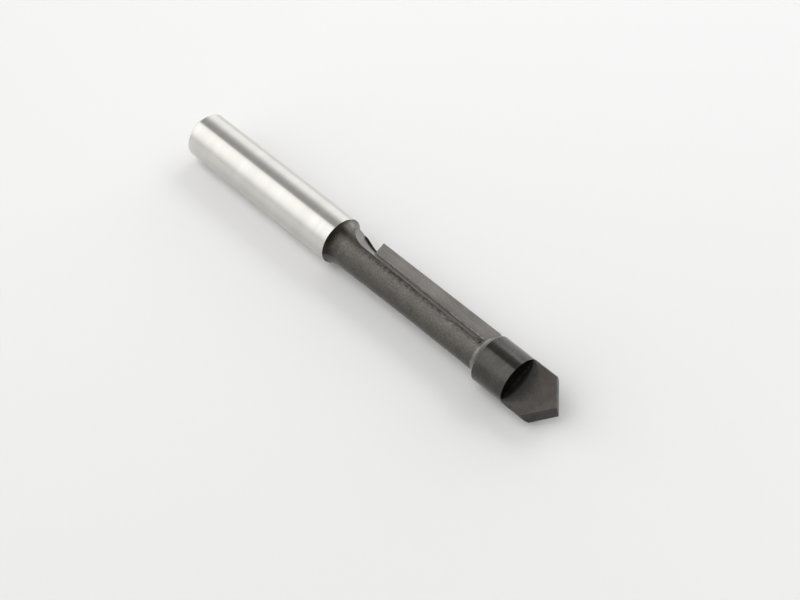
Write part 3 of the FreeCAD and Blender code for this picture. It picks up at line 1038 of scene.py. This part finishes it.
def braze():
    m, nt, b = new_material("blackened_braze")
    n1 = noise(nt, mapping(nt, (1, 1, 1)), 2600.0, 4.0, 0.65)
    col = ramp(nt, n1, [(0.35, (0.110, 0.098, 0.080)), (0.65, (0.205, 0.188, 0.160))])
    nt.links.new(col, b.inputs["Base Color"])
    b.inputs["Metallic"].default_value = 1.0
    nt.links.new(remap(nt, n1, 0.3, 0.7, 0.62, 0.50), b.inputs["Roughness"])
    nt.links.new(bump(nt, n1, 0.00003, 0.5), b.inputs["Normal"])
    return m


steel = build_steel()
strip = build_strip()
bead = build_braze()
for make in (ground_steel, blasted_steel, smooth_black, gullet_steel, point_steel, chamfer_steel,
             seat_painted_shade_steel):
    steel.data.materials.append(make())
steel.data.materials.append(gullet_steel("gullet_floor_steel", True, (0.134, 0.127, 0.117),
                                         (0.200, 0.190, 0.178), 0.50, 0.42))
bead.data.materials.append(braze_bead())
strip.data.materials.append(carbide())
bead.data.materials.append(braze())

for ob, slot in ((steel, "steel"), (strip, "carbide")):
    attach(ob, "root")
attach(bead, "root")
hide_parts("steel_body")
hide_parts("carbide_strip")

# --------------------------------------------------------------------- stage
FLOOR_Z = -0.003175
fl = bpy.data.meshes.new("floor")
S = 1.5
fl.from_pydata([(-S, -S, FLOOR_Z), (S, -S, FLOOR_Z), (S, S, FLOOR_Z), (-S, S, FLOOR_Z)],
               [], [(0, 1, 2, 3)])
floor = bpy.data.objects.new("floor", fl)
bpy.context.scene.collection.objects.link(floor)
fm, fnt, fb = new_material("pale_floor")
fb.inputs["Roughness"].default_value = 0.75
fb.inputs["Specular IOR Level"].default_value = 0.2
ftc = fnt.nodes.new("ShaderNodeTexCoord")
fsep = fnt.nodes.new("ShaderNodeSeparateXYZ")
fnt.links.new(ftc.outputs["Object"], fsep.inputs[0])
# painted shade: the floor darker towards -Y and towards +X, as its light falls off
floor_tone_painted_shade_y = ramp(fnt, remap(fnt, fsep.outputs["Y"], -0.06, 0.12, 0.0, 1.0),
            [(0.0, (0.790, 0.786, 0.781)), (1.0, (0.852, 0.851, 0.851))])
painted_floor_shade_x = fnt.nodes.new("ShaderNodeCombineColor")
for i in range(3):
    fnt.links.new(remap(fnt, fsep.outputs["X"], -0.01, 0.07, 1.01, 0.945), painted_floor_shade_x.inputs[i])
fnt.links.new(mix_rgb(fnt, 1.0, floor_tone_painted_shade_y, painted_floor_shade_x.outputs[0], "MULTIPLY"), fb.inputs["Base Color"])
fl.materials.append(fm)

# soft light tent: bright sides, a darker gap overhead, a large soft box
world = bpy.data.worlds.new("light_tent")
bpy.context.scene.world = world
world.use_nodes = True
wt = world.node_tree
wt.nodes.clear()
wo = wt.nodes.new("ShaderNodeOutputWorld")
bg = wt.nodes.new("ShaderNodeBackground")
wt.links.new(bg.outputs[0], wo.inputs[0])
wtc = wt.nodes.new("ShaderNodeTexCoord")
wsep = wt.nodes.new("ShaderNodeSeparateXYZ")
wt.links.new(wtc.outputs["Generated"], wsep.inputs[0])
theta = math_node(wt, "ARCTAN2", wsep.outputs["Z"], wsep.outputs["Y"])
tent = remap(wt, theta, 0.0, math.pi, 0.0, 1.0)


def grey(v, t=(1.0, 1.0, 1.0)):
    return tuple(v / 3.0 * k for k in t)


def band(stops):
    return ramp(wt, tent, [(d / 180, grey(v)) for d, v in stops])


def step_x(a, b):
    n = wt.nodes.new("ShaderNodeMapRange")
    n.interpolation_type = "SMOOTHSTEP"
    n.inputs["From Min"].default_value = a
    n.inputs["From Max"].default_value = b
    wt.links.new(wsep.outputs["X"], n.inputs["Value"])
    return n.outputs["Result"]


# the tent's lining is bright at the shank's end, with a strong soft box in
# its middle, and dark at the open end beyond the point
near = band([(0, 1.28), (26, 1.36), (38, 1.20), (58, 0.60), (72, 0.43), (90, 0.42), (95, 1.45),
             (115, 1.60), (135, 1.55), (154, 1.35), (168, 0.99), (180, 0.83)])
mid = band([(0, 2.50), (22, 2.50), (37, 0.50), (52, 0.30), (72, 0.34), (91, 0.55), (97, 2.42),
            (126, 2.42), (136, 1.65), (160, 1.62), (180, 1.55)])
far_end = band([(0, 0.40), (35, 0.50), (60, 0.70), (85, 0.60), (100, 0.35), (180, 0.20)])
tent_col = mix_rgb(wt, step_x(-0.38, -0.30), near, mid)
wt.links.new(mix_rgb(wt, step_x(0.22, 0.34), tent_col, far_end), bg.inputs["Color"])
bg.inputs["Strength"].default_value = 3.0

# large soft lamp behind the bit, which throws the shadow towards -Y
lamp_data = bpy.data.lights.new("soft_lamp", "AREA")
lamp_data.shape = "RECTANGLE"
lamp_data.size = 0.82
lamp_data.size_y = 0.285
lamp_data.energy = 1.80
lamp = bpy.data.objects.new("soft_lamp", lamp_data)
bpy.context.scene.collection.objects.link(lamp)
lamp.location = (0.075, 0.9 * math.cos(math.radians(45)), 0.9 * math.sin(math.radians(45)))
lamp.rotation_euler = (math.radians(-45), 0.0, 0.0)

# -------------------------------------------------------------------- camera
pos = Vector((136.1104189050503, -93.13364141956525, 151.53636910220965)) * 0.001
fwd = Vector((-0.4808755573426183, 0.45407503421628104, -0.7500497061208072))
right = Vector((0.6865554302148197, 0.7270774657782648, 0.0))
up = Vector((-0.5453442395340489, 0.5149506986698269, 0.6613814620535494))
fwd = (fwd - right * (0.5 / 1680) + up * (0.5 / 1680)).normalized()
right = fwd.cross(Vector((0, 0, 1))).normalized()
up = right.cross(fwd)
cam_data = bpy.data.cameras.new("camera")
cam_data.sensor_width = 36.0
cam_data.lens = 75.6
cam_data.clip_start = 0.01
cam_data.clip_end = 10.0
cam = bpy.data.objects.new("camera", cam_data)
bpy.context.scene.collection.objects.link(cam)
rot = Matrix((right, up, -fwd)).transposed()
cam.matrix_world = Matrix.Translation(pos) @ rot.to_4x4()
bpy.context.scene.camera = cam
bpy.context.scene.view_settings.view_transform = "Standard"
bpy.context.scene.view_settings.look = "None"
